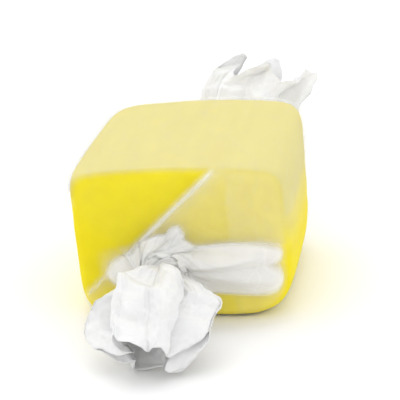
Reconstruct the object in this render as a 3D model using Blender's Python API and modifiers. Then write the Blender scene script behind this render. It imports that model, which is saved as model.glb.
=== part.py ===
"""One piece of salt water taffy, twisted up in waxed paper.

Two solids: the soft block of taffy, and the sheet of paper that is rolled round it, pleated over both ends,
twisted tight and fanned out past the twists. The paper is one tube, open at both mouths, with the taffy loose
inside it. Metres, +Z up. The twists lie along Y, and -Y is the end that faces the viewer. The origin is under
the middle of the sweet's box, on the surface that it lies on.
"""

import math

import bmesh
import bpy
import numpy as np

# The block of taffy: a cut length of pulled rope, a little narrower at the back, with softly domed ends.
TAFFY_WIDTH = 0.0220
TAFFY_LENGTH = 0.0220
TAFFY_HEIGHT = 0.0166
TOP_POWER = 11.0
FOOT_POWER = 6.0
RIGHT_FOOT_POWER = 3.6
FRONT_POWER = 14.0
BACK_POWER = 6.0
CUT_SLANT = 0.18
SIDE_LEAN = 0.09
BACK_TAPER = 0.12
BULGE = 0.02
SKEW = 0.05
SAG = 0.0006
FLAT_FOOT = 0.0003

# The paper, thicker than the real sheet so that it makes a solid wall, and the air between it and the taffy.
PAPER = 0.00025
AIR = 0.00040

# The folded end. It starts at the rim, as a share of the half width. Flaps lie on it, each up to its fold
# edge, and ridges run out from the neck, where the paper stands off the most.
RIM = 0.96
FLAP_EDGE = 0.0010
ROLL_WIDTH = 0.0012
RIDGE_HEIGHT = 0.0026
CONE_SLOPE = 1.5
PINCH_RADIUS = 0.0040

# The pleats that gather the paper into the twist. Each crest leans over the hollow beside it.
PLEATS = 6
UNEVEN_PLEATS = 0.7
PLEAT_LEAN = 0.70
PLEAT_HEIGHT = 0.0012
FLAT_PLEAT_HEIGHT = 0.0003

# The twist: a short rope of pleats between the end folds and the fan, thinnest half way.
NECK_RADIUS = 0.0021
NECK_STANDOFF = 0.0031
NECK_LENGTH = 0.0020
NECK_RELIEF = 0.0004
NECK_WAIST = 0.12
NECK_TWIST = math.radians(130)

# The fan: pleats that open from the neck like the ribs of an umbrella, each at its own angle. It clears the
# surface by a little, so that the sweet lies on its block.
FAN_TURN = 0.0036
FAN_CREST = math.radians(72)
FAN_HOLLOW = math.radians(8)
FAN_CURL = math.radians(30)
UNEVEN_FAN = 0.11
TAIL_CLEARANCE = 0.0001

# Crumples: triangle waves through space, so that neighbouring folds bend together and stay apart.
CRUMPLE_WAVES = 5
CRUMPLE_DEPTH = 0.0006
SHORTEST_CRUMPLE = 0.0048
LONGEST_CRUMPLE = 0.0090

# How the tube is cut up: rows from one mouth to the other, and where each part of a half ends.
COLUMNS_PER_FOLD = 4
ROWS = 60
BODY_SHARE = 1 / 6
END_SHARE = 17 / 30
NECK_SHARE = 21 / 30

HALF_WIDTH = TAFFY_WIDTH / 2
HALF_LENGTH = TAFFY_LENGTH / 2
HALF_HEIGHT = TAFFY_HEIGHT / 2
WALL = PAPER + AIR
FOLDS = 2 * PLEATS
FOLD_ANGLE = 2 * math.pi / FOLDS


class End:
    """What differs between the two twisted ends: sizes in metres, angles in degrees. A flap has a direction,
    the distance of its fold edge from the neck, and the heights of the flap and of its rolled edge. A ridge has
    a direction, a reach and a half width. mouth is the slope at which the fan ends, and lift and yaw are how far
    its tip has turned, up and to the right."""

    def __init__(self, side, seed, turn, neck, flaps, ridges, fan, spread, mouth, lift, yaw, power):
        self.side = side
        self.seed = seed
        self.turn = turn
        self.neck_x, self.neck_z = neck
        self.flaps = [(math.radians(angle), *rest) for angle, *rest in flaps]
        self.ridges = [(math.radians(angle), *rest) for angle, *rest in ridges]
        self.power = power
        self.fan = fan
        self.wide, self.tall = spread
        self.mouth = math.radians(mouth)
        self.lift = math.radians(lift)
        self.yaw = math.radians(yaw)


# The end that faces the viewer droops to the table. The far one stands up and leans to the right.
FRONT = End(
    side=-1, seed=39, turn=1, neck=(-0.0015, -0.0023), fan=0.0125, spread=(1.48, 0.80), mouth=-10, lift=-46,
    yaw=7,
    flaps=((134, 0.0045, 0.0002, 0.0007), (180, -0.0064, 0.0003, 0.0001)),
    ridges=((-1, 0.0126, 0.0048), (186, 0.0074, 0.0030), (-48, 0.0072, 0.0026), (-100, 0.0050, 0.0030),
            (72, 0.0056, 0.0016)),
    power=FRONT_POWER,
)
BACK = End(
    side=1, seed=8, turn=-1, neck=(0.0008, -0.0002), fan=0.0122, spread=(1.18, 0.75), mouth=4, lift=64,
    yaw=13,
    flaps=((50, 0.0048, 0.0002, 0.0007), (170, 0.0070, 0.0003, 0.0001)),
    ridges=((8, 0.0090, 0.0028), (100, 0.0070, 0.0026), (178, 0.0100, 0.0032), (250, 0.0075, 0.0026),
            (-50, 0.0080, 0.0026)),
    power=BACK_POWER,
)


def smooth(share):
    """0 to 1 with level ends."""
    share = np.clip(share, 0, 1)
    return share * share * (3 - 2 * share)


def triangle(turns):
    """A wave of straight ramps from -1 to 1, one for each turn."""
    return 4 * np.abs(turns - np.floor(turns) - 0.5) - 1


def uneven(index, seed):
    """A repeatable number from 0 to 1 for each whole number."""
    value = 43.76 * np.sin(12.99 * index + 4.14 * seed)
    return value - np.floor(value)


def superellipse(cosine, sine, power):
    """How far out a superellipse lies in this direction: 1 along its axes, more towards its corners."""
    return (np.abs(cosine) ** power + np.abs(sine) ** power) ** (-1 / power)


def section(angle, grow=0.0):
    """The rounded rectangle across the block, as X and Z from its middle. Its corners are crisp at the top
    and worn at the lower right."""
    cosine, sine = np.cos(angle), np.sin(angle)
    foot_power = np.where(cosine > 0, RIGHT_FOOT_POWER, FOOT_POWER)
    out = superellipse(cosine, sine, np.where(sine > 0, TOP_POWER, foot_power))
    return (HALF_WIDTH + grow) * out * cosine, (HALF_HEIGHT + grow) * out * sine


def soften(across, along, upward):
    """The hand of the kitchen: a slanted cut, leaning sides, a taper to the back, a swollen middle, sagging
    sides and corners out of square."""
    reach = np.clip(along / HALF_LENGTH, -1.3, 1.3)
    slump = CUT_SLANT * across + SKEW * across * upward / HALF_HEIGHT
    sag = SAG * (across / HALF_WIDTH) ** 2
    swell = 1 + BULGE * (1 - reach**2)
    narrow = swell * (1 - BACK_TAPER * (reach + 1) / 2)
    return across * narrow - SIDE_LEAN * upward, along + slump, upward * swell - sag


def end_folds(across, upward, end):
    """How far the paper stands off the block's end: flaps with a rolled edge, ridges, and a cone at the neck."""
    x, z = across - end.neck_x, upward - end.neck_z
    height = NECK_STANDOFF - CONE_SLOPE * (np.hypot(x, z) - NECK_RADIUS)
    for angle, distance, plateau, roll in end.flaps:
        inside = distance - (math.cos(angle) * x + math.sin(angle) * z)
        rolled = roll * np.exp(-np.maximum(inside, 0) / ROLL_WIDTH)
        height = np.maximum(height, smooth(inside / FLAP_EDGE) * (plateau + rolled))
    for angle, reach, width in end.ridges:
        out = math.cos(angle) * x + math.sin(angle) * z
        beside = np.abs(math.cos(angle) * z - math.sin(angle) * x)
        ridge = RIDGE_HEIGHT * np.clip(1 - (out / reach) ** 2, 0, 1) * np.clip(1 - beside / width, 0, 1)
        height = np.maximum(height, np.where(out > 0, ridge, 0))
    return np.clip(height, 0, NECK_STANDOFF)


def crease(index, gather, lean, end):
    """One crease of the pleats: its angle round the tube, how high it stands and how long its stretch of fan
    is, both from -1 to 1. Odd creases are crests, even ones hollows."""
    crest = np.mod(index, 2)
    number = np.mod(index, FOLDS)
    shift = UNEVEN_PLEATS * (uneven(number, end.seed) - 0.5) * gather + PLEAT_LEAN * end.turn * crest * lean
    height = (2 * crest - 1) * (0.5 + 0.5 * uneven(number + FOLDS, end.seed))
    length = 2 * uneven(number + 2 * FOLDS, end.seed) - 1
    return np.stack([FOLD_ANGLE * (index + shift), height, length])


def bend(across, out, upward, end):
    """Bends the fan along an arc, up or down from the neck, and turns it sideways. Gives across, out and upward."""
    curve = end.lift / end.fan
    pitch = curve * out
    forward = np.sin(pitch) * (1 / curve - upward)
    lifted = (1 - np.cos(pitch)) / curve + upward * np.cos(pitch)
    yaw = end.yaw * out / end.fan
    return across * np.cos(yaw) + forward * np.sin(yaw), forward * np.cos(yaw) - across * np.sin(yaw), lifted


def crumple(points, end, weight):
    """Shoves points by the end's triangle waves, in full where weight is 1."""
    moved = points.copy()
    for wave in range(CRUMPLE_WAVES):
        draws = [2 * math.pi * uneven(wave * 6 + draw, end.seed + 0.5) for draw in range(6)]
        heading, tilt, phase, push, slope, size = draws
        length = SHORTEST_CRUMPLE + (LONGEST_CRUMPLE - SHORTEST_CRUMPLE) * size / (2 * math.pi)
        across_wave = np.array(direction(heading, tilt)) / length
        shove = CRUMPLE_DEPTH * weight * triangle(points @ across_wave + phase)
        moved += shove[:, None] * np.array(direction(push, slope))
    return moved


def direction(heading, tilt):
    return math.cos(heading) * math.cos(tilt), math.sin(heading) * math.cos(tilt), math.sin(tilt)


def paper(share, fold, end):
    """Points of one half of the paper. share runs from 0 at the block's middle to 1 at the mouth of the fan, and
    fold from 0 to FOLDS round the tube, with a crease at each whole number."""
    gather = smooth(share / BODY_SHARE)
    folding = np.clip((share - BODY_SHARE) / (END_SHARE - BODY_SHARE), 0, 1)
    twisting = np.clip((share - END_SHARE) / (NECK_SHARE - END_SHARE), 0, 1)
    fanning = np.clip((share - NECK_SHARE) / (1 - NECK_SHARE), 0, 1)
    lean = folding * (1 - smooth(2 * fanning))
    first = np.floor(fold)
    before, after = crease(first, gather, lean, end), crease(first + 1, gather, lean, end)
    angle, relief, ragged = before + (after - before) * (fold - first)

    # Along the block to the rim of its end, then in over the end to the neck. Folds run straight past the pinch.
    rim_reach = (1 - RIM**end.power) ** (1 / end.power)
    reach = rim_reach * (1 - (1 - np.clip(share / BODY_SHARE, 0, 1)) ** 1.6)
    size = (1 - reach**end.power) ** (1 / end.power)
    neck_size = NECK_RADIUS / HALF_WIDTH
    size = np.where(folding > 0, RIM + (neck_size - RIM) * folding, size)
    reach = np.where(folding > 0, (1 - size**end.power) ** (1 / end.power), reach)
    pinch = PINCH_RADIUS / HALF_WIDTH
    swirl = np.where(folding > 0, math.acos(pinch / RIM) - np.arccos(np.clip(pinch / size, 0, 1)), 0)
    angle = angle + end.turn * (swirl + NECK_TWIST * twisting + FAN_CURL * fanning)

    # Round the tube: the block's own section turns into the ring of the neck and the ribs of the fan.
    ring = smooth(folding)
    block_across, block_upward = section(angle, WALL)
    length = end.fan * fanning * (1 + UNEVEN_FAN * ragged)
    flare = FAN_HOLLOW + (FAN_CREST - FAN_HOLLOW) * (0.5 + 0.5 * relief)
    turned = FAN_TURN * (1 - np.exp(-length / FAN_TURN))
    opening = turned * np.sin(flare) + (length - turned) * math.sin(end.mouth)
    out = turned * np.cos(flare) + (length - turned) * math.cos(end.mouth)
    radius = NECK_RADIUS + NECK_RELIEF * relief * folding**2
    radius = radius * (1 - NECK_WAIST * np.sin(math.pi * twisting)) + opening
    spread = smooth(2 * fanning)
    ring_across = radius * np.cos(angle) * (1 + (end.wide - 1) * spread) + end.neck_x
    ring_upward = radius * np.sin(angle) * (1 + (end.tall - 1) * spread) + end.neck_z
    across = block_across * size * (1 - ring) + ring_across * ring
    upward = block_upward * size * (1 - ring) + ring_upward * ring

    # Out along the twist: the block, its end folds, the neck and the fan.
    half_length = HALF_LENGTH + WALL
    standing = np.where(twisting > 0, NECK_STANDOFF, end_folds(across, upward, end)) * smooth(8 * folding)
    lifted = smooth(standing / RIDGE_HEIGHT)
    pleats = FLAT_PLEAT_HEIGHT + (PLEAT_HEIGHT - FLAT_PLEAT_HEIGHT) * lifted
    pleats = pleats * (0.5 + 0.5 * relief) * np.sin(math.pi * folding)
    along = reach * half_length + standing + pleats + NECK_LENGTH * twisting
    across, along, upward = soften(across, end.side * along, upward)

    # The fan bends round the end of its neck.
    root = end.side * along
    bent_across, forward, raised = bend(across - end.neck_x, out, upward - end.neck_z, end)
    points = np.stack([
        np.where(fanning > 0, end.neck_x + bent_across, across),
        end.side * (root + np.where(fanning > 0, forward, 0)),
        HALF_HEIGHT + np.where(fanning > 0, end.neck_z + raised, upward),
    ], 1)
    points = crumple(points, end, smooth(2.5 * fanning))
    above_foot = (PAPER + TAIL_CLEARANCE) * smooth(4 * fanning)
    points[:, 2] = np.maximum(points[:, 2], FLAT_FOOT - WALL + above_foot)
    return points


def finish(name, mesh_data, points, collection, material):
    """Gives the mesh its worked points and makes it a named object with its material. The rules lay the mesh's Z
    along the twists, which turns its faces inside out, so they are turned back."""
    for vertex, point in zip(mesh_data.verts, points):
        vertex.co = point
    bmesh.ops.reverse_faces(mesh_data, faces=mesh_data.faces)
    mesh = bpy.data.meshes.new(name)
    mesh_data.to_mesh(mesh)
    mesh_data.free()
    mesh.shade_smooth()
    mesh.materials.append(material)
    obj = bpy.data.objects.new(name, mesh)
    collection.objects.link(obj)
    return obj


def make_material(name, colour, roughness, alpha=1.0):
    material = bpy.data.materials.new(name)
    material.use_nodes = True
    shader = material.node_tree.nodes["Principled BSDF"]
    shader.inputs["Base Color"].default_value = (*colour, 1)
    shader.inputs["Roughness"].default_value = roughness
    shader.inputs["Metallic"].default_value = 0
    shader.inputs["Alpha"].default_value = alpha
    return material


def build_taffy(collection):
    """The block: a sphere pulled out to a rounded box with its poles at the two ends."""
    mesh_data = bmesh.new()
    bmesh.ops.create_uvsphere(mesh_data, u_segments=COLUMNS_PER_FOLD * FOLDS, v_segments=20, radius=1)
    x, y, z = np.array([vertex.co for vertex in mesh_data.verts]).T
    ring = np.hypot(x, y)
    out = superellipse(ring, z, np.where(z > 0, BACK_POWER, FRONT_POWER))
    across, upward = section(np.arctan2(y, x))
    across, along, upward = soften(across * ring * out, z * out * HALF_LENGTH, upward * ring * out)
    points = np.stack([across, along, np.maximum(upward + HALF_HEIGHT, FLAT_FOOT)], 1)
    return finish("taffy", mesh_data, points, collection, make_material("taffy", (0.90, 0.66, 0.03), 0.45))


def build_wrapper(collection):
    """The paper: an open cylinder cut into rows, drawn in over the ends, twisted and fanned, then given its wall."""
    columns = COLUMNS_PER_FOLD * FOLDS
    mesh_data = bmesh.new()
    bmesh.ops.create_cone(mesh_data, cap_ends=False, segments=columns, radius1=1, radius2=1, depth=2)
    rails = [edge for edge in mesh_data.edges if abs(edge.verts[0].co.z - edge.verts[1].co.z) > 1]
    bmesh.ops.subdivide_edges(mesh_data, edges=rails, cuts=ROWS - 1)
    x, y, z = np.array([vertex.co for vertex in mesh_data.verts]).T
    share = np.clip(np.round(z * ROWS / 2) / (ROWS / 2), -1, 1)
    fold = np.mod(np.round(np.arctan2(y, x) / FOLD_ANGLE * COLUMNS_PER_FOLD) / COLUMNS_PER_FOLD, FOLDS)
    points = np.where(share[:, None] > 0, paper(abs(share), fold, BACK), paper(abs(share), fold, FRONT))
    material = make_material("waxed_paper", (0.93, 0.93, 0.90), 0.4, 0.6)
    wrapper = finish("wrapper", mesh_data, points, collection, material)
    wall = wrapper.modifiers.new("paper thickness", "SOLIDIFY")
    wall.thickness = PAPER
    wall.offset = -1
    return wrapper


def stand_on_origin(objects):
    """Moves the sweet so that the middle of its box's underside is the origin."""
    graph = bpy.context.evaluated_depsgraph_get()
    corners = np.array([corner for obj in objects for corner in obj.evaluated_get(graph).bound_box])
    low, high = corners.min(0), corners.max(0)
    for obj in objects:
        obj.location = (-(low[0] + high[0]) / 2, -(low[1] + high[1]) / 2, -low[2])


def main():
    for obj in list(bpy.data.objects):
        bpy.data.objects.remove(obj)
    collection = bpy.data.collections.new("salt_water_taffy")
    bpy.context.scene.collection.children.link(collection)
    sweet = [build_taffy(collection), build_wrapper(collection)]
    bpy.context.view_layer.update()
    stand_on_origin(sweet)


main()
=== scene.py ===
# %% [markdown]
# # Salt water taffy in waxed paper
#
# A piece of salt water taffy is two things: a soft block cut from a pulled rope of sugar, and one sheet of waxed
# paper. The sheet is rolled round the block, its ends are gathered into pleats and twisted, and what is left over
# fans out as a tail on each side. This notebook dresses the plain model of the sweet with both, at their real size.
#
# The plain model is loaded first. It stays where it is: the finished pieces are built round its box.

# %% Load the plain model
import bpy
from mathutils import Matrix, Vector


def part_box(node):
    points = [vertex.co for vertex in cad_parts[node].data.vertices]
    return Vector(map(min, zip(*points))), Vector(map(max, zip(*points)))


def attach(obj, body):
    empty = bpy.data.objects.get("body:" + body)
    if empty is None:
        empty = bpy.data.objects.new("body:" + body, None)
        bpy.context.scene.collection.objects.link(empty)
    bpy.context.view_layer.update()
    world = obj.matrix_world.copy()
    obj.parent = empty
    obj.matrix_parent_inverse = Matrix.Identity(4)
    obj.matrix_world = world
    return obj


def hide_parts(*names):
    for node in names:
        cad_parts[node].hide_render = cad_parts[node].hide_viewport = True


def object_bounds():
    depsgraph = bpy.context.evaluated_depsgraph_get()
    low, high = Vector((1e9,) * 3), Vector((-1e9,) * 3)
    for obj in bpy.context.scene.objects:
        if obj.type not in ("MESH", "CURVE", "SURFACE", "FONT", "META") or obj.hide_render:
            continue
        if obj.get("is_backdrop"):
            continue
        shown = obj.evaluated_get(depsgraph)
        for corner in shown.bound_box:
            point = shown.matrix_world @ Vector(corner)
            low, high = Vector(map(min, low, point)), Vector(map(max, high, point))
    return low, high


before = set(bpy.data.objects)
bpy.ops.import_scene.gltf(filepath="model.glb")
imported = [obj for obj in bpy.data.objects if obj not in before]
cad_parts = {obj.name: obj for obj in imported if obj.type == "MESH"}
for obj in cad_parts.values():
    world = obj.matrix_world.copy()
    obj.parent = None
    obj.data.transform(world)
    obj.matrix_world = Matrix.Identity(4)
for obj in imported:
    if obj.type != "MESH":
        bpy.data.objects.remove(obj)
cad_low, cad_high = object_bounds()

import inspect
import math

import bpy
from mathutils import Vector

print("nodes:", sorted(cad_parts))
print("box in mm:", [round(1000 * side, 1) for side in cad_high - cad_low])

# %% [markdown]
# ## Sizes
#
# All sizes are in metres. The block's place comes from its box in the plain model, because the plain model was moved
# to stand with its middle over the origin. Every rule below starts from the middle of the block.

# %% Sizes of the block
MM = 0.001
TOP_POWER = 11.0
FOOT_POWER = 6.0
RIGHT_FOOT_POWER = 3.6
FRONT_POWER = 14.0
BACK_POWER = 6.0
CUT_SLANT = 0.18
SIDE_LEAN = 0.09
BACK_TAPER = 0.12
BULGE = 0.02
SKEW = 0.05
SAG = 0.6 * MM
FLAT_FOOT = 0.3 * MM
PAST_THE_END = 1.3

block_low, block_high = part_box("taffy")
middle = (Vector(block_low) + Vector(block_high)) / 2
base_z = block_low[2] - FLAT_FOOT
HALF_WIDTH = 11.0 * MM
HALF_LENGTH = 11.0 * MM
HALF_HEIGHT = 8.3 * MM
print("half width, length and height in mm:", [round(v / MM, 2) for v in (HALF_WIDTH, HALF_LENGTH, HALF_HEIGHT)])

# %% [markdown]
# ## Arithmetic that makes nodes
#
# Both pieces follow a rule: a formula says where each point of a flat grid goes. Geometry Nodes can evaluate such a
# rule, but drawn by hand it would be hundreds of Math nodes. So a small class stands for "one number at each point":
# writing `a * b + c` with it adds the Math nodes and links them. The formulas then read like formulas, and the tree
# that they leave behind can still be opened and tuned through its named inputs.


# %% The Field class
class Field:
    """One number for each point, worked out by the nodes of a tree."""

    def __init__(self, tree, socket):
        self.tree = tree
        self.socket = socket

    def __add__(self, other):
        return maths("ADD", self, other)

    def __radd__(self, other):
        return maths("ADD", other, self)

    def __sub__(self, other):
        return maths("SUBTRACT", self, other)

    def __rsub__(self, other):
        return maths("SUBTRACT", other, self)

    def __mul__(self, other):
        return maths("MULTIPLY", self, other)

    def __rmul__(self, other):
        return maths("MULTIPLY", other, self)

    def __truediv__(self, other):
        return maths("DIVIDE", self, other)

    def __rtruediv__(self, other):
        return maths("DIVIDE", other, self)

    def __pow__(self, other):
        return maths("POWER", self, other)

    def __rpow__(self, other):
        return maths("POWER", other, self)

    def __neg__(self):
        return maths("MULTIPLY", self, -1.0)


def maths(operation, *values):
    """Adds one Math node. Each value is a Field or a plain number."""
    tree = next(value.tree for value in values if isinstance(value, Field))
    node = tree.nodes.new("ShaderNodeMath")
    node.operation = operation
    for socket, value in zip(node.inputs, values):
        if isinstance(value, Field):
            tree.links.new(value.socket, socket)
        else:
            socket.default_value = value
    return Field(tree, node.outputs[0])


def sine(x):
    return maths("SINE", x)


def cosine(x):
    return maths("COSINE", x)


def clamp(x, low, high):
    return maths("MINIMUM", maths("MAXIMUM", x, low), high)


# %% [markdown]
# Some rules are used again and again. `node_group` turns a function of Fields into a node group of its own: the
# function runs once, to fill the group, and each later call only places the group. Its inputs are named after the
# function's arguments. The main tree stays small that way, and a group can be opened to see how a rule works.


# %% Functions as node groups
def in_words(name):
    return name.replace("_", " ").capitalize()


def node_group(*outputs):
    def wrap(function):
        tree = bpy.data.node_groups.new(in_words(function.__name__), "GeometryNodeTree")
        titles = [in_words(name) for name in inspect.signature(function).parameters]
        for title in outputs:
            tree.interface.new_socket(title, in_out="OUTPUT", socket_type="NodeSocketFloat")
        for title in titles:
            tree.interface.new_socket(title, in_out="INPUT", socket_type="NodeSocketFloat")
        source, out = tree.nodes.new("NodeGroupInput"), tree.nodes.new("NodeGroupOutput")
        results = function(*[Field(tree, source.outputs[title]) for title in titles])
        for result, socket in zip([results] if len(outputs) == 1 else results, out.inputs):
            tree.links.new(result.socket, socket)

        def place(*values):
            host = next(value.tree for value in values if isinstance(value, Field))
            node = host.nodes.new("GeometryNodeGroup")
            node.node_tree = tree
            for value, socket in zip(values, node.inputs):
                if isinstance(value, Field):
                    host.links.new(value.socket, socket)
                else:
                    socket.default_value = value
            fields = [Field(host, socket) for socket in node.outputs]
            return fields[0] if len(fields) == 1 else fields

        return place

    return wrap


@node_group("Value")
def choose(test, if_positive, otherwise):
    """if_positive where test is above 0, and otherwise elsewhere."""
    chosen = maths("GREATER_THAN", test, 0.0)
    return chosen * if_positive + (1.0 - chosen) * otherwise


@node_group("Value")
def smooth(x):
    """0 to 1 with level ends."""
    x = clamp(x, 0.0, 1.0)
    return x * x * (3.0 - 2.0 * x)


@node_group("Value")
def triangle(turns):
    """A wave of straight ramps from -1 to 1, one for each turn. Its corners are what makes paper look creased."""
    return 4.0 * maths("ABSOLUTE", maths("FRACT", turns) - 0.5) - 1.0


SPREAD_OF_DRAWS = 43.76
STEP_FOR_INDEX = 12.99
STEP_FOR_SEED = 4.14


@node_group("Value")
def uneven(index, seed):
    """A repeatable number from 0 to 1 for each whole number, so that the seed alone fixes every draw."""
    return maths("FRACT", SPREAD_OF_DRAWS * sine(STEP_FOR_INDEX * index + STEP_FOR_SEED * seed))


print("shared rules:", ", ".join(sorted(group.name for group in bpy.data.node_groups)))

# %% [markdown]
# A tree needs sockets for its sizes, and a modifier that uses the tree is given them by the sockets' identifiers.
# `new_tree` makes the sockets and hands back a Field for each one. `grow` puts the tree on an object, fills the
# sockets in, and turns what comes out into a plain mesh, because only a plain mesh is kept.


# %% Making and using a tree
def new_tree(name, sizes):
    tree = bpy.data.node_groups.new(name, "GeometryNodeTree")
    tree.interface.new_socket("Geometry", in_out="OUTPUT", socket_type="NodeSocketGeometry")
    for title, value in sizes.items():
        socket = tree.interface.new_socket(title, in_out="INPUT", socket_type="NodeSocketFloat")
        socket.default_value = value
    source = tree.nodes.new("NodeGroupInput")
    return tree, {title: Field(tree, source.outputs[title]) for title in sizes}


def add_node(tree, kind, **inputs):
    """Adds one node. Inputs are given by name, as a Field, a socket or a plain value."""
    node = tree.nodes.new(kind)
    for title, value in inputs.items():
        socket = node.inputs[title.replace("_", " ")]
        if isinstance(value, Field):
            tree.links.new(value.socket, socket)
        elif isinstance(value, bpy.types.NodeSocket):
            tree.links.new(value, socket)
        else:
            socket.default_value = value
    return node


def position_of(tree):
    """The X, Y and Z of each point, before it is moved."""
    parts = add_node(tree, "ShaderNodeSeparateXYZ", Vector=tree.nodes.new("GeometryNodeInputPosition").outputs[0])
    return [Field(tree, output) for output in parts.outputs]


def vector(tree, x, y, z):
    return add_node(tree, "ShaderNodeCombineXYZ", X=x, Y=y, Z=z).outputs[0]


def keep(tree, geometry, name, value):
    """Stores a number on the points under a name that a material can read."""
    node = add_node(tree, "GeometryNodeStoreNamedAttribute", Geometry=geometry, Name=name, Value=value)
    return node.outputs[0]


def keep_vector(tree, geometry, name, value):
    node = tree.nodes.new("GeometryNodeStoreNamedAttribute")
    node.data_type = "FLOAT_VECTOR"
    node.inputs["Name"].default_value = name
    tree.links.new(geometry, node.inputs["Geometry"])
    tree.links.new(value, node.inputs["Value"])
    return node.outputs[0]


def finish_tree(tree, geometry, material):
    smooth_shading = add_node(tree, "GeometryNodeSetShadeSmooth", Geometry=geometry)
    real = add_node(tree, "GeometryNodeRealizeInstances", Geometry=smooth_shading.outputs[0])
    painted = add_node(tree, "GeometryNodeSetMaterial", Geometry=real.outputs[0], Material=material)
    out = tree.nodes.new("NodeGroupOutput")
    tree.links.new(painted.outputs[0], out.inputs[0])


def grow(name, tree, sizes):
    """Runs the tree with these sizes and keeps the result as a plain mesh object."""
    carrier = bpy.data.objects.new(name + "_rule", bpy.data.meshes.new(name + "_rule"))
    bpy.context.scene.collection.objects.link(carrier)
    modifier = carrier.modifiers.new("rule", "NODES")
    modifier.node_group = tree
    for item in tree.interface.items_tree:
        if item.in_out == "INPUT":
            modifier[item.identifier] = float(sizes[item.name])
    graph = bpy.context.evaluated_depsgraph_get()
    mesh = bpy.data.meshes.new_from_object(carrier.evaluated_get(graph))
    mesh.name = name
    bpy.data.objects.remove(carrier)
    piece = bpy.data.objects.new(name, mesh)
    bpy.context.scene.collection.objects.link(piece)
    print(f"{name}: {len(tree.nodes)} nodes, {len(mesh.vertices)} points, {len(mesh.polygons)} faces")
    return piece


# %% [markdown]
# ## Shared finishes
#
# *Clouds* is soft unevenness, and both materials use it: sugar that is more or less airy, wax that is more or less
# thick. *Fine creases* is a net of thin straight-sided ridges, which is handling wear, and only the paper uses it.
# Each is a shader node group with its own sizes, so a material places it and sets the numbers.


# %% Shader node groups
FACET_SLOPE = 2.0


def new_shader_group(name, inputs, outputs):
    group = bpy.data.node_groups.new(name, "ShaderNodeTree")
    group.interface.new_socket("Vector", in_out="INPUT", socket_type="NodeSocketVector")
    for title, value in inputs.items():
        group.interface.new_socket(title, in_out="INPUT", socket_type="NodeSocketFloat").default_value = value
    for title in outputs:
        group.interface.new_socket(title, in_out="OUTPUT", socket_type="NodeSocketFloat")
    return group, group.nodes.new("NodeGroupInput"), group.nodes.new("NodeGroupOutput")


def clouds_group():
    group, source, out = new_shader_group("Clouds", {"Scale": 300.0, "Contrast": 1.0}, ["Value"])
    noise = group.nodes.new("ShaderNodeTexNoise")
    noise.inputs["Detail"].default_value = 2.0
    group.links.new(source.outputs["Vector"], noise.inputs["Vector"])
    group.links.new(source.outputs["Scale"], noise.inputs["Scale"])
    value = (Field(group, noise.outputs[0]) - 0.5) * Field(group, source.outputs["Contrast"]) + 0.5
    group.links.new(clamp(value, 0.0, 1.0).socket, out.inputs["Value"])
    return group


def creases_group():
    """Ridges at the borders of a warped Voronoi pattern: 1 on a crease, 0 inside a facet."""
    sizes = {"Scale": 500.0, "Width": 0.08, "Warp": 0.3}
    group, source, out = new_shader_group("Fine creases", sizes, ["Crease", "Facet"])
    noise = group.nodes.new("ShaderNodeTexNoise")
    group.links.new(source.outputs["Vector"], noise.inputs["Vector"])
    group.links.new(source.outputs["Scale"], noise.inputs["Scale"])
    scaled = group.nodes.new("ShaderNodeVectorMath")
    scaled.operation = "SCALE"
    group.links.new(source.outputs["Vector"], scaled.inputs[0])
    group.links.new(source.outputs["Scale"], scaled.inputs["Scale"])
    shift = group.nodes.new("ShaderNodeVectorMath")
    shift.operation = "SCALE"
    group.links.new(noise.outputs["Color"], shift.inputs[0])
    group.links.new(source.outputs["Warp"], shift.inputs["Scale"])
    warped = group.nodes.new("ShaderNodeVectorMath")
    group.links.new(scaled.outputs[0], warped.inputs[0])
    group.links.new(shift.outputs[0], warped.inputs[1])
    edges = group.nodes.new("ShaderNodeTexVoronoi")
    edges.feature = "DISTANCE_TO_EDGE"
    edges.inputs["Scale"].default_value = 1.0
    group.links.new(warped.outputs[0], edges.inputs["Vector"])
    distance = Field(group, edges.outputs["Distance"])
    width = Field(group, source.outputs["Width"])
    group.links.new((1.0 - clamp(distance / width, 0.0, 1.0)).socket, out.inputs["Crease"])
    group.links.new(clamp(FACET_SLOPE * distance, 0.0, 1.0).socket, out.inputs["Facet"])
    return group


CLOUDS = clouds_group()
CREASES = creases_group()
print("shared finishes:", CLOUDS.name, "and", CREASES.name)


# %% Placing a shared finish in a material
def place(tree, group, coordinates, **values):
    """Puts a shared finish into a material and returns a Field for each of its outputs, by name."""
    node = tree.nodes.new("ShaderNodeGroup")
    node.node_tree = group
    tree.links.new(coordinates, node.inputs["Vector"])
    for title, value in values.items():
        node.inputs[title].default_value = value
    return {output.name: Field(tree, output) for output in node.outputs}


def start_material(name):
    material = bpy.data.materials.new(name)
    material.use_nodes = True
    tree = material.node_tree
    return material, tree, tree.nodes["Principled BSDF"], tree.nodes.new("ShaderNodeTexCoord").outputs["Object"]


def stretched(tree, coordinates, x, y, z):
    """The same coordinates, stretched so that a pattern on them gets longer along one way."""
    mapping = tree.nodes.new("ShaderNodeMapping")
    mapping.inputs["Scale"].default_value = (x, y, z)
    tree.links.new(coordinates, mapping.inputs["Vector"])
    return mapping.outputs[0]


def blend_colours(tree, factor, first, second):
    node = tree.nodes.new("ShaderNodeMix")
    node.data_type = "RGBA"
    tree.links.new(factor.socket, node.inputs["Factor"])
    for socket, colour in zip((node.inputs["A"], node.inputs["B"]), (first, second)):
        if isinstance(colour, bpy.types.NodeSocket):
            tree.links.new(colour, socket)
        else:
            socket.default_value = (*colour, 1.0)
    return node.outputs["Result"]


def bump(tree, height, distance, shader):
    node = tree.nodes.new("ShaderNodeBump")
    node.inputs["Distance"].default_value = distance
    tree.links.new(height.socket, node.inputs["Height"])
    tree.links.new(node.outputs["Normal"], shader.inputs["Normal"])


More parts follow.
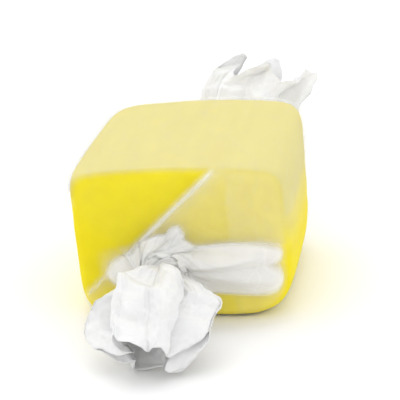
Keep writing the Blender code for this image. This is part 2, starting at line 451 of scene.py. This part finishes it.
# %% [markdown]
# ## The taffy's finish
#
# Pulling folds air into the sugar, so taffy is opaque and satiny, with faint streaks along the rope that it was cut
# from. The colour is a clear lemon yellow. A render turns yellow olive as soon as its red drops below its green, so
# the red stays the higher of the two in both shades.

# %% The taffy's material
TAFFY_YELLOW = (0.815, 0.670, 0.004)
TAFFY_PALE = (0.865, 0.730, 0.010)
TAFFY_ROUGHNESS = 0.50
ROUGHNESS_OF_DENTS = 0.16
TAFFY_SHINE = 0.06
STREAK_RELIEF = 0.35
TAFFY_RELIEF = 0.08 * MM


def taffy_material():
    material, tree, shader, coordinates = start_material("pulled_taffy")
    along = stretched(tree, coordinates, 1.0, 0.12, 1.0)
    streaks = place(tree, CLOUDS, along, Scale=700.0, Contrast=2.2)["Value"]
    dents = place(tree, CLOUDS, coordinates, Scale=260.0, Contrast=1.4)["Value"]
    colour = blend_colours(tree, streaks, TAFFY_YELLOW, TAFFY_PALE)
    tree.links.new(colour, shader.inputs["Base Color"])
    tree.links.new((TAFFY_ROUGHNESS + ROUGHNESS_OF_DENTS * dents).socket, shader.inputs["Roughness"])
    shader.inputs["Specular IOR Level"].default_value = TAFFY_SHINE
    bump(tree, dents + STREAK_RELIEF * streaks, TAFFY_RELIEF, shader)
    return material


TAFFY = taffy_material()
print("taffy material:", TAFFY.name)

# %% [markdown]
# ## The block of taffy
#
# The real block is snipped from a rope as it leaves the pulling machine, so it is a rounded box with softly domed
# ends. A subdivided cube would give a pillow, too round at the edges. A sphere whose points are pushed out by a power
# curve, a superellipsoid, keeps broad faces and still turns over its edges in one sweep, so that is the rule here.
# The block is a little fatter than in the plain model, because real paper lies right on it.


# %% The shape of the block
@node_group("Out")
def superellipse(cosine_of, sine_of, power):
    """How far out a superellipse lies in this direction: 1 along its axes, more towards its corners."""
    return (maths("ABSOLUTE", cosine_of) ** power + maths("ABSOLUTE", sine_of) ** power) ** (-1.0 / power)


@node_group("Across", "Upward")
def section(angle, grow_by):
    """The rounded rectangle across the block, as X and Z from its middle. Its corners are crisp at the top and worn
    at the lower right."""
    x, z = cosine(angle), sine(angle)
    out = superellipse(x, z, choose(z, TOP_POWER, choose(x, RIGHT_FOOT_POWER, FOOT_POWER)))
    return (HALF_WIDTH + grow_by) * out * x, (HALF_HEIGHT + grow_by) * out * z


@node_group("Across", "Along", "Upward")
def soften(across, along, upward):
    """A slanted cut, leaning sides, a taper to the back, a swollen middle, a sag and corners out of square."""
    reach = clamp(along / HALF_LENGTH, -PAST_THE_END, PAST_THE_END)
    slump = CUT_SLANT * across + SKEW / HALF_HEIGHT * across * upward
    sag = SAG / HALF_WIDTH**2 * across * across
    swell = 1.0 + BULGE * (1.0 - reach * reach)
    narrow = swell * (1.0 - BACK_TAPER / 2 * (reach + 1.0))
    return across * narrow - SIDE_LEAN * upward, along + slump, upward * swell - sag


# %% The block's tree
BLOCK_SEGMENTS = 160
BLOCK_RINGS = 96
BLOCK_SIZES = {
    "Growth": 0.42 * MM,
    "Streak depth": 0.16 * MM,
    "Streak scale": 420.0,
    "Streak stretch": 0.16,
}


def block_tree():
    tree, size = new_tree("Pulled block", BLOCK_SIZES)
    ball = add_node(tree, "GeometryNodeMeshUVSphere", Segments=BLOCK_SEGMENTS, Rings=BLOCK_RINGS, Radius=1.0)
    x, y, z = position_of(tree)
    ring = maths("SQRT", x * x + y * y)
    out = superellipse(ring, z, choose(z, BACK_POWER, FRONT_POWER))
    across, upward = section(maths("ARCTAN2", y, x), size["Growth"])
    along = z * out * (HALF_LENGTH + size["Growth"])
    across, along, upward = soften(across * ring * out, along, upward * ring * out)
    stretch = vector(tree, across, along * size["Streak stretch"], upward)
    noise = add_node(tree, "ShaderNodeTexNoise", Vector=stretch, Scale=size["Streak scale"], Detail=2.0)
    swell = 1.0 + size["Streak depth"] / HALF_HEIGHT * (Field(tree, noise.outputs[0]) - 0.5)
    upward = maths("MAXIMUM", upward * swell + HALF_HEIGHT, FLAT_FOOT - size["Growth"])
    place_at = vector(tree, across * swell + middle.x, along + middle.y, upward + base_z)
    moved = add_node(tree, "GeometryNodeSetPosition", Geometry=ball.outputs["Mesh"], Position=place_at)
    outward = add_node(tree, "GeometryNodeFlipFaces", Mesh=moved.outputs[0])
    finish_tree(tree, outward.outputs[0], TAFFY)
    return tree


block = grow("taffy_block", block_tree(), BLOCK_SIZES)

# %% [markdown]
# ## The paper's route
#
# The sheet starts as a flat grid. One side of the grid runs round the block: it is longer than once round, so the
# sheet overlaps itself from about halfway up the right side over the top, and its free edge ends at the top left
# corner, where it shows as a pale line. The doubled paper is made milkier, partly as real double paper and partly as
# painted light from above on the top and the upper right side.
# The other side runs along the twists: half a block, the folded end, the neck and the fan, and the same to the back.
#
# Round the block, the sheet is divided into folds, twelve to a turn. Every second fold line is a crest. Over the end
# the crests lean across the hollows beside them, as pleats do when a thumb turns them in. In the fan they open again
# like the ribs of an umbrella.

# %% Sizes of the paper
PAPER = 0.06 * MM
PLEATS = 6
FOLDS = 2 * PLEATS
FOLD_ANGLE = 2 * math.pi / FOLDS
COLUMNS_PER_FOLD = 11
SHEET_FOLDS = 17
ROWS = 248
BODY_SHARE = 0.16
END_SHARE = 0.50
NECK_SHARE = 0.62
RIM = 0.96

# How soon each thing happens along the sheet: a larger number means sooner.
TURN_TO_THE_RIM = 1.6
FOLDS_RISE = 8.0
FOLDS_WHITEN = 14.0
FAN_OPENS = 2.0
TAIL_LIFTS = 4.0
CRUMPLES_START = 2.5

RIBS_PER_FOLD = 1.5
LOOSE_IN_THE_FAN = 0.7
# Extra milkiness where the sheet lies double over the top and the upper right side: partly real double paper, partly
# painted light from above.
OVERLAP_WHITENS = 3.9

PAPER_SIZES = {
    "Paper gap": 0.60 * MM,
    "Overlap gap": 0.13 * MM,
    "Flap edge": 0.6 * MM,
    "Roll width": 0.75 * MM,
    "Ridge height": 2.6 * MM,
    "Cone slope": 1.5,
    "Pinch radius": 4.0 * MM,
    "Uneven pleats": 0.7,
    "Pleat lean": 1.15,
    "Pleat height": 1.2 * MM,
    "Flat pleat height": 0.3 * MM,
    "Rib height": 0.12 * MM,
    "Neck radius": 2.1 * MM,
    "Neck standoff": 3.1 * MM,
    "Neck length": 2.0 * MM,
    "Neck relief": 0.4 * MM,
    "Neck waist": 0.30,
    "Neck twist": math.radians(130),
    "Fan turn": 3.6 * MM,
    "Fan crest": math.radians(72),
    "Fan hollow": math.radians(8),
    "Fan curl": math.radians(30),
    "Uneven fan": 0.11,
    "Tail clearance": 0.15 * MM,
}

# Each end of the sweet has its own values. Angles are in degrees here: mouth is the slope at which the fan ends, and
# lift and yaw are how far its tip has turned, up and to the right. Crispness is the power of the block's end.
FRONT = {"Side": -1, "Seed": 39, "Turn": 1, "Neck X": -1.5 * MM, "Neck Z": -2.3 * MM, "Fan length": 12.5 * MM,
         "Fan wide": 1.48, "Fan tall": 0.80, "Mouth": -10, "Lift": -46, "Yaw": 7, "Crispness": FRONT_POWER}
BACK = {"Side": 1, "Seed": 8, "Turn": -1, "Neck X": 0.8 * MM, "Neck Z": -0.2 * MM, "Fan length": 12.2 * MM,
        "Fan wide": 1.18, "Fan tall": 0.75, "Mouth": 4, "Lift": 64, "Yaw": 13, "Crispness": BACK_POWER}
FRONT_AND_BACK = {}
for title in FRONT:
    turned = math.radians if title in ("Mouth", "Lift", "Yaw") else float
    FRONT_AND_BACK[title] = turned(FRONT[title]), turned(BACK[title])
    PAPER_SIZES["Front " + title], PAPER_SIZES["Back " + title] = FRONT_AND_BACK[title]

# Flaps lie over the end, up to a fold edge: where the edge is, as a direction and a distance from the neck, how high
# the flap lies and how high its edge rolls up. Ridges run out from the neck: direction, reach and half width.
FRONT_FLAPS = ((134, 4.5, 0.2, 0.9), (180, -6.4, 0.3, 0.1))
BACK_FLAPS = ((50, 4.8, 0.2, 0.7), (170, 7.0, 0.3, 0.1))
FRONT_RIDGES = (
    (9, 15.0, 2.4), (-5, 15.0, 3.4), (186, 7.4, 3.0),
    (-48, 7.2, 2.6), (-100, 5.0, 3.0), (72, 5.6, 1.6),
)
BACK_RIDGES = (
    (8, 9.0, 2.8), (40, 6.0, 1.4), (100, 7.0, 2.6),
    (178, 10.0, 3.2), (250, 7.5, 2.6), (-50, 8.0, 2.6),
)
print(len(PAPER_SIZES), "named sizes for the paper")

# %% [markdown]
# Crumples come from waves of straight ramps that run through space, each in its own direction. Two layers of paper
# that lie together are shoved together, so they never cut through each other, and where the waves meet they leave
# flat facets with sharp borders. Three sets are used, from broad bends to fine creases.

# %% The crumples
CRUMPLES = {
    "Broad": {"waves": 5, "depth": 0.60 * MM, "shortest": 4.8 * MM, "longest": 9.0 * MM, "first draw": 0},
    "Middle": {"waves": 5, "depth": 0.10 * MM, "shortest": 1.9 * MM, "longest": 3.6 * MM, "first draw": 60},
    "Fine": {"waves": 4, "depth": 0.05 * MM, "shortest": 0.9 * MM, "longest": 1.5 * MM, "first draw": 120},
}
for title, crumple in CRUMPLES.items():
    PAPER_SIZES[title + " crumple depth"] = crumple["depth"]


def heading(first, second):
    """A direction in space from two angles."""
    return cosine(first) * cosine(second), sine(first) * cosine(second), sine(second)


@node_group("Across", "Along", "Upward")
def crumple_wave(across, along, upward, first_draw, seed, shortest, longest):
    """How far one wave shoves each point at a depth of 1. Heading, place, length and push are drawn from the seed."""
    draws = [uneven(first_draw + float(draw), seed + 0.5) for draw in range(6)]
    first, second, phase, push, slope = (2 * math.pi * draw for draw in draws[:5])
    way = heading(first, second)
    travel = (across * way[0] + along * way[1] + upward * way[2]) / (shortest + (longest - shortest) * draws[5])
    shove = triangle(travel + phase)
    return [shove * part for part in heading(push, slope)]


def crumpled(point, crumple, depth, seed):
    """The point after one set of waves."""
    moved = point
    for wave in range(crumple["waves"]):
        first_draw = float(crumple["first draw"] + 6 * wave)
        shove = crumple_wave(*point, first_draw, seed, crumple["shortest"], crumple["longest"])
        moved = [a + depth * b for a, b in zip(moved, shove)]
    return moved


# %% [markdown]
# The rule for the sheet follows in short steps, in the order in which a hand wraps the sweet. `share` runs from 0 at
# the middle of the block to 1 at the mouth of a fan, and `fold` counts fold lines round the roll.


# %% Pleats
@node_group("Angle", "Height", "Length")
def fold_line(index, gather, lean, seed, uneven_pleats):
    """One fold line: its angle round the roll, its height from -1 to 1, and how much longer its stretch of fan is."""
    crest = maths("FLOORED_MODULO", index, 2.0)
    number = maths("FLOORED_MODULO", index, float(FOLDS))
    shift = uneven_pleats * (uneven(number, seed) - 0.5) * gather + lean * crest
    height = (2.0 * crest - 1.0) * (0.5 + 0.5 * uneven(number + FOLDS, seed))
    return FOLD_ANGLE * (index + shift), height, 2.0 * uneven(number + 2 * FOLDS, seed) - 1.0


@node_group("Angle", "Height", "Length")
def between_folds(fold, gather, lean, seed, uneven_pleats):
    """Paper runs straight from one fold line to the next."""
    first = maths("FLOOR", fold)
    here = fold_line(first, gather, lean, seed, uneven_pleats)
    following = fold_line(first + 1.0, gather, lean, seed, uneven_pleats)
    return [a + (b - a) * (fold - first) for a, b in zip(here, following)]


# %% Flaps and ridges over the end
@node_group("Height")
def flap(x, z, direction, distance, plateau, roll, flap_edge, roll_width):
    """A layer that lies over the end as far as its fold edge, where it rolls up."""
    inside = distance - (cosine(direction) * x + sine(direction) * z)
    rolled = roll * maths("EXPONENT", -maths("MAXIMUM", inside, 0.0) / roll_width)
    return smooth(inside / flap_edge) * (plateau + rolled)


@node_group("Height")
def ridge(x, z, direction, reach, width, ridge_height):
    """A fold that runs out from the neck and gets lower on the way."""
    out = cosine(direction) * x + sine(direction) * z
    beside = maths("ABSOLUTE", cosine(direction) * z - sine(direction) * x)
    top = ridge_height * clamp(1.0 - (out / reach) * (out / reach), 0.0, 1.0)
    top = top * clamp(1.0 - beside / width, 0.0, 1.0)
    return top * maths("GREATER_THAN", out, 0.0)


def end_folds(across, upward, end, is_back, size):
    """How far the paper stands off the block's end: flaps, ridges, and a cone at the neck."""

    def either(front, back):
        return maths("MULTIPLY_ADD", is_back, back - front, front)

    x, z = across - end["Neck X"], upward - end["Neck Z"]
    height = size["Neck standoff"] - size["Cone slope"] * (maths("SQRT", x * x + z * z) - size["Neck radius"])
    for front, back in zip(FRONT_FLAPS, BACK_FLAPS):
        direction = either(math.radians(front[0]), math.radians(back[0]))
        place_and_height = [either(a * MM, b * MM) for a, b in zip(front[1:], back[1:])]
        one = flap(x, z, direction, *place_and_height, size["Flap edge"], size["Roll width"])
        height = maths("MAXIMUM", height, one)
    for front, back in zip(FRONT_RIDGES, BACK_RIDGES):
        direction = either(math.radians(front[0]), math.radians(back[0]))
        extent = [either(a * MM, b * MM) for a, b in zip(front[1:], back[1:])]
        height = maths("MAXIMUM", height, ridge(x, z, direction, *extent, size["Ridge height"]))
    return clamp(height, 0.0, size["Neck standoff"])


# %% The bend of the fan
@node_group("Across", "Forward", "Raised")
def bend(across, out, upward, lift, yaw, fan_length):
    """Turns the fan along an arc, up or down from the neck, and sideways by its yaw."""
    curve = lift / fan_length
    pitch = curve * out
    forward = sine(pitch) * (1.0 / curve - upward)
    raised = (1.0 - cosine(pitch)) / curve + upward * cosine(pitch)
    turn = yaw * out / fan_length
    return across * cosine(turn) + forward * sine(turn), forward * cosine(turn) - across * sine(turn), raised


# %% The whole rule of the sheet
def sheet_point(share, fold, end, is_back, size):
    """Where a point of the flat sheet ends up. Gives X, Y and Z from under the block's middle, how far the paper is
    lifted off the taffy from 0 to 1, raised where the sheet lies double over the top and the upper right side, partly
    for real double paper and partly as painted light from above, how tightly it is gathered, and how far out in the
    fan it is."""
    gather = smooth(share / BODY_SHARE)
    folding = clamp((share - BODY_SHARE) / (END_SHARE - BODY_SHARE), 0.0, 1.0)
    twisting = clamp((share - END_SHARE) / (NECK_SHARE - END_SHARE), 0.0, 1.0)
    fanning = clamp((share - NECK_SHARE) / (1 - NECK_SHARE), 0.0, 1.0)
    lean = folding * (1.0 - smooth(FAN_OPENS * fanning)) * size["Pleat lean"] * end["Turn"]
    angle, relief, ragged = between_folds(fold, gather, lean, end["Seed"], size["Uneven pleats"])
    ribs = size["Rib height"] * triangle(RIBS_PER_FOLD * fold) * folding

    # Along the block to the rim of its end, then in over the end to the neck. Folds run straight past the pinch.
    power = end["Crispness"]
    rim_reach = (1.0 - RIM**power) ** (1.0 / power)
    reach = rim_reach * (1.0 - (1.0 - clamp(share / BODY_SHARE, 0.0, 1.0)) ** TURN_TO_THE_RIM)
    ring_size = (1.0 - reach**power) ** (1.0 / power)
    neck_size = size["Neck radius"] / HALF_WIDTH
    ring_size = choose(folding, RIM + (neck_size - RIM) * folding, ring_size)
    reach = choose(folding, (1.0 - ring_size**power) ** (1.0 / power), reach)
    pinch = size["Pinch radius"] / HALF_WIDTH
    swirl = maths("ARCCOSINE", pinch / RIM) - maths("ARCCOSINE", clamp(pinch / ring_size, 0.0, 1.0))
    swirl = choose(folding, swirl, 0.0)
    angle = angle + end["Turn"] * (swirl + size["Neck twist"] * twisting + size["Fan curl"] * fanning)

    # The second time round, the sheet lies on the first layer.
    second_layer = smooth((fold - FOLDS + 0.5) / 1.5) * size["Overlap gap"]
    gap = size["Paper gap"] + second_layer

    # Round the roll: the block's own section turns into the ring of the neck and the ribs of the fan.
    ring = smooth(folding)
    block_across, block_upward = section(angle, gap)
    length = end["Fan length"] * fanning * (1.0 + size["Uneven fan"] * ragged)
    flare = size["Fan hollow"] + (size["Fan crest"] - size["Fan hollow"]) * (0.5 + 0.5 * relief)
    turned = size["Fan turn"] * (1.0 - maths("EXPONENT", -length / size["Fan turn"]))
    opening = turned * sine(flare) + (length - turned) * sine(end["Mouth"])
    out = turned * cosine(flare) + (length - turned) * cosine(end["Mouth"])
    radius = size["Neck radius"] + second_layer * ring + size["Neck relief"] * relief * folding * folding
    radius = radius * (1.0 - size["Neck waist"] * sine(math.pi * twisting)) + opening + ribs * ring
    spread = smooth(FAN_OPENS * fanning)
    wide, tall = 1.0 + (end["Fan wide"] - 1.0) * spread, 1.0 + (end["Fan tall"] - 1.0) * spread
    ring_across = radius * cosine(angle) * wide + end["Neck X"]
    ring_upward = radius * sine(angle) * tall + end["Neck Z"]
    across = block_across * ring_size * (1.0 - ring) + ring_across * ring
    upward = block_upward * ring_size * (1.0 - ring) + ring_upward * ring

    # Out along the twist: the block, its end folds, the neck and the fan.
    folds = choose(twisting, size["Neck standoff"], end_folds(across, upward, end, is_back, size))
    standing = folds * smooth(FOLDS_RISE * folding)
    lifted = smooth(standing / size["Ridge height"])
    pleats = size["Flat pleat height"] + (size["Pleat height"] - size["Flat pleat height"]) * lifted
    pleats = (pleats * (0.5 + 0.5 * relief) + ribs) * sine(math.pi * folding)
    along = reach * (HALF_LENGTH + gap) + standing + pleats + size["Neck length"] * twisting
    across, along, upward = soften(across, end["Side"] * along, upward)

    # The fan bends round the end of its neck.
    bent_across, forward, raised = bend(
        across - end["Neck X"], out, upward - end["Neck Z"], end["Lift"], end["Yaw"], end["Fan length"]
    )
    across = choose(fanning, end["Neck X"] + bent_across, across)
    along = along + end["Side"] * choose(fanning, forward, 0.0)
    upward = choose(fanning, end["Neck Z"] + raised, upward)
    over_the_end = smooth(FOLDS_WHITEN * folding)
    # The double sheet over the top and the upper right side counts as lifted, so it turns milkier: partly real double
    # paper, partly painted light from above.
    doubled = OVERLAP_WHITENS * second_layer * (1.0 - over_the_end)
    stand_off = (folds + pleats * lifted) * over_the_end + doubled
    lift = clamp(stand_off / size["Ridge height"], 0.0, 1.0)
    gathered = folding * (1.0 - LOOSE_IN_THE_FAN * smooth(fanning))
    return (across, along, upward + HALF_HEIGHT), lift, gathered, fanning


# %% [markdown]
# ## The paper's finish
#
# Waxed paper is thin and half clear. Where it clings to the taffy the yellow comes through strongly, where it stands
# off or lies double it turns milky, and the tails are almost white. Where it lies double, over the top and the upper
# right side, the extra milkiness is partly painted light from above. The rule above works out how far each point is
# lifted, and the tree below stores it, so the material needn't guess. Creases break the wax and leave pale lines,
# so they are less clear too. The wax gives a soft gloss.
#
# Alpha is what makes it see-through. A ray crosses the sheet's front and back, so each side gets the share that
# makes the pair come out right.

# %% The paper's material
PAPER_WHITE = (0.950, 0.950, 0.960)
PAPER_SHADE = (0.920, 0.920, 0.908)
CLINGING = 0.006
THIN_LIFT = 0.15
WHITENING = 0.20
FLAP = 0.085
LIFTED = 0.66
TAIL = 0.74
CLEAREST = 0.004
MILKIEST = 0.95
WAX_IN_COVER = 0.12
CREASE_IN_COVER = 0.03
LEAST_WORN = 0.10
WORN_BY_LIFT = 3.0
WHITE_BY_FAN = 4.0
PAPER_ROUGHNESS = 0.36
ROUGHNESS_OF_WAX = 0.20
PAPER_SHINE = 0.25
CREASE_RELIEF = 0.9
PULL_RELIEF = 2.0
PAPER_RELIEF = 0.10 * MM


def paper_material():
    material, tree, shader, coordinates = start_material("waxed_paper_sheet")
    lift, gathered, fan = (read_attribute(tree, name) for name in ("lift", "gathered", "fan"))
    route = tree.nodes.new("ShaderNodeAttribute")
    route.attribute_name = "route"
    wax = place(tree, CLOUDS, coordinates, Scale=420.0, Contrast=2.0)["Value"]
    creases = place(tree, CREASES, coordinates, Scale=230.0, Width=0.05, Warp=1.1)
    along_the_route = stretched(tree, route.outputs["Vector"], 5.0, 3.0, 1.0)
    pulls = place(tree, CLOUDS, along_the_route, Scale=1.0, Contrast=2.6)["Value"]
    worn = clamp(LEAST_WORN + (1.0 - LEAST_WORN) * ease(WORN_BY_LIFT * lift) + fan, 0.0, 1.0)
    tree.links.new(blend_colours(tree, wax, PAPER_WHITE, PAPER_SHADE), shader.inputs["Base Color"])
    # Cover follows the lift, which also holds the painted light from above on the double sheet over the top and the
    # upper right side.
    cover = CLINGING + (FLAP - CLINGING) * clamp(lift / THIN_LIFT, 0.0, 1.0)
    cover = cover + (LIFTED - FLAP) * ease((lift - THIN_LIFT) / WHITENING)
    cover = cover + (TAIL - cover) * ease(WHITE_BY_FAN * fan)
    cover = cover * (1.0 - WAX_IN_COVER / 2 + WAX_IN_COVER * wax) + CREASE_IN_COVER * worn * creases["Crease"]
    tree.links.new(clamp(cover, CLEAREST, MILKIEST).socket, shader.inputs["Alpha"])
    tree.links.new((PAPER_ROUGHNESS + ROUGHNESS_OF_WAX * wax).socket, shader.inputs["Roughness"])
    relief = CREASE_RELIEF * worn * creases["Facet"] + PULL_RELIEF * gathered * pulls
    bump(tree, relief, PAPER_RELIEF, shader)
    shader.inputs["Specular IOR Level"].default_value = PAPER_SHINE
    return material


def read_attribute(tree, name):
    node = tree.nodes.new("ShaderNodeAttribute")
    node.attribute_name = name
    return Field(tree, node.outputs["Fac"])


def ease(x):
    """0 to 1 with level ends, for a material."""
    x = clamp(x, 0.0, 1.0)
    return x * x * (3.0 - 2.0 * x)


WAXED_PAPER = paper_material()
print("paper material:", WAXED_PAPER.name)

# %% [markdown]
# ## Rolling the sheet
#
# The tree below makes the flat grid, works the rule out for both ends at once and picks each half's own values by
# the side of the grid that a point is on. It stores the lift, the gathering, the fan and the place on the flat sheet
# for the material. Solidify then gives the sheet its thickness, inwards, which closes its edges too.


# %% The sheet's tree
def sheet_tree():
    tree, size = new_tree("Twist wrap", PAPER_SIZES)
    columns = COLUMNS_PER_FOLD * SHEET_FOLDS
    points = {"Vertices_X": columns + 1, "Vertices_Y": ROWS + 1}
    grid = add_node(tree, "GeometryNodeMeshGrid", Size_X=1.0, Size_Y=1.0, **points)
    x, y, _ = position_of(tree)
    is_back = maths("GREATER_THAN", y, 0.0)
    end = {}
    for title in FRONT_AND_BACK:
        front, back = size["Front " + title], size["Back " + title]
        end[title] = front + (back - front) * is_back
    share = maths("MINIMUM", maths("ABSOLUTE", 2.0 * y), 1.0)
    fold = (x + 0.5) * float(SHEET_FOLDS)
    start, lift, gathered, fan = sheet_point(share, fold, end, is_back, size)
    on_fan = smooth(CRUMPLES_START * fan)
    weight = {"Broad": on_fan, "Middle": on_fan + 0.2 * lift, "Fine": on_fan + 0.3 * lift + 0.1}
    point = start
    for title, crumple in CRUMPLES.items():
        point = crumpled(point, crumple, size[title + " crumple depth"] * weight[title], end["Seed"])
    across, along, upward = point
    lowest = FLAT_FOOT - size["Paper gap"] + size["Tail clearance"] * smooth(TAIL_LIFTS * fan)
    upward = maths("MAXIMUM", upward, lowest)
    place_at = vector(tree, across + middle.x, along + middle.y, upward + base_z)
    geometry = keep(tree, grid.outputs["Mesh"], "lift", lift)
    geometry = keep(tree, geometry, "gathered", gathered)
    geometry = keep(tree, geometry, "fan", fan)
    geometry = keep_vector(tree, geometry, "route", vector(tree, fold, share, is_back))
    moved = add_node(tree, "GeometryNodeSetPosition", Geometry=geometry, Position=place_at)
    outward = add_node(tree, "GeometryNodeFlipFaces", Mesh=moved.outputs[0])
    finish_tree(tree, outward.outputs[0], WAXED_PAPER)
    return tree


paper = grow("waxed_paper_wrap", sheet_tree(), PAPER_SIZES)
wall = paper.modifiers.new("thickness", "SOLIDIFY")
wall.thickness = PAPER
wall.offset = -1

# %% [markdown]
# ## Where the pieces belong
#
# Both pieces stand for a solid of the plain model, which is then hidden, and both move with its one body.

# %% Hand the pieces over
for piece, node, slot in ((block, "taffy", "taffy"), (paper, "wrapper", "waxed_paper")):
    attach(piece, "root")
    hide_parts(node)

# %% [markdown]
# ## Floor, light and camera
#
# The sweet was lit as for a catalogue: bright white all round, so that the floor burns out and the paper nearly does,
# with a little more light from above. A white world gives the first, and one large, weak area lamp the second. The
# floor is plain and nearly white.


# %% The floor
FLOOR_SIZE = 3.0
FLOOR_WHITE = (0.93, 0.93, 0.93, 1)
FLOOR_ROUGHNESS = 0.9


def make_floor():
    bpy.ops.mesh.primitive_plane_add(size=FLOOR_SIZE, location=(0, 0, 0))
    floor = bpy.context.object
    floor.name = "floor"
    material, _, shader, _ = start_material("pale_floor")
    shader.inputs["Base Color"].default_value = FLOOR_WHITE
    shader.inputs["Roughness"].default_value = FLOOR_ROUGHNESS
    floor.data.materials.append(material)
    floor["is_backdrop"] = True


make_floor()

# %% The light
LAMP_PLACE = (-0.12, 0.16, 0.55)
LAMP_SIZE = 0.45
LAMP_POWER = 0.72
WORLD_LIGHT = 1.11
SIDES_SEEN_THROUGH = 10


def make_light():
    world = bpy.data.worlds.new("studio")
    world.use_nodes = True
    world.node_tree.nodes["Background"].inputs["Color"].default_value = (1, 1, 1, 1)
    world.node_tree.nodes["Background"].inputs["Strength"].default_value = WORLD_LIGHT
    bpy.context.scene.world = world
    lamp = bpy.data.lights.new("softbox", "AREA")
    lamp.size = LAMP_SIZE
    lamp.energy = LAMP_POWER
    lamp_object = bpy.data.objects.new("softbox", lamp)
    lamp_object.location = LAMP_PLACE
    lamp_object.rotation_euler = (-lamp_object.location).to_track_quat("-Z", "Y").to_euler()
    bpy.context.scene.collection.objects.link(lamp_object)


make_light()
bpy.context.scene.view_settings.view_transform = "Standard"
bpy.context.scene.cycles.transparent_max_bounces = SIDES_SEEN_THROUGH

# %% [markdown]
# The camera looks down at about 23 degrees, a little from the right of the twists, from half a metre away with a long
# lens, so that the near end is hardly larger than the far one.

# %% The camera
CAMERA_AZIMUTH = math.radians(10.2)
CAMERA_ELEVATION = math.radians(23.0)
CAMERA_DISTANCE = 0.52
CAMERA_LENS = 430
CAMERA_NEAR_END = 0.01


def make_camera():
    sweet_middle = (cad_low + cad_high) / 2
    away = Vector((
        math.sin(CAMERA_AZIMUTH) * math.cos(CAMERA_ELEVATION),
        -math.cos(CAMERA_AZIMUTH) * math.cos(CAMERA_ELEVATION),
        math.sin(CAMERA_ELEVATION),
    ))
    camera = bpy.data.cameras.new("camera")
    camera.lens = CAMERA_LENS
    camera.clip_start = CAMERA_NEAR_END
    camera_object = bpy.data.objects.new("camera", camera)
    camera_object.location = sweet_middle + away * CAMERA_DISTANCE
    camera_object.rotation_euler = (-away).to_track_quat("-Z", "Y").to_euler()
    bpy.context.scene.collection.objects.link(camera_object)
    bpy.context.scene.camera = camera_object


make_camera()

# %% [markdown]
# ## Sizes at the end
#
# The finished sweet should be as large as the plain model, so its box is printed here, as the plain model's box was
# printed at the start.

# %% Write the sizes and finish
low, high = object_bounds()
print("finished box in mm:", [round(side / MM, 1) for side in high - low])
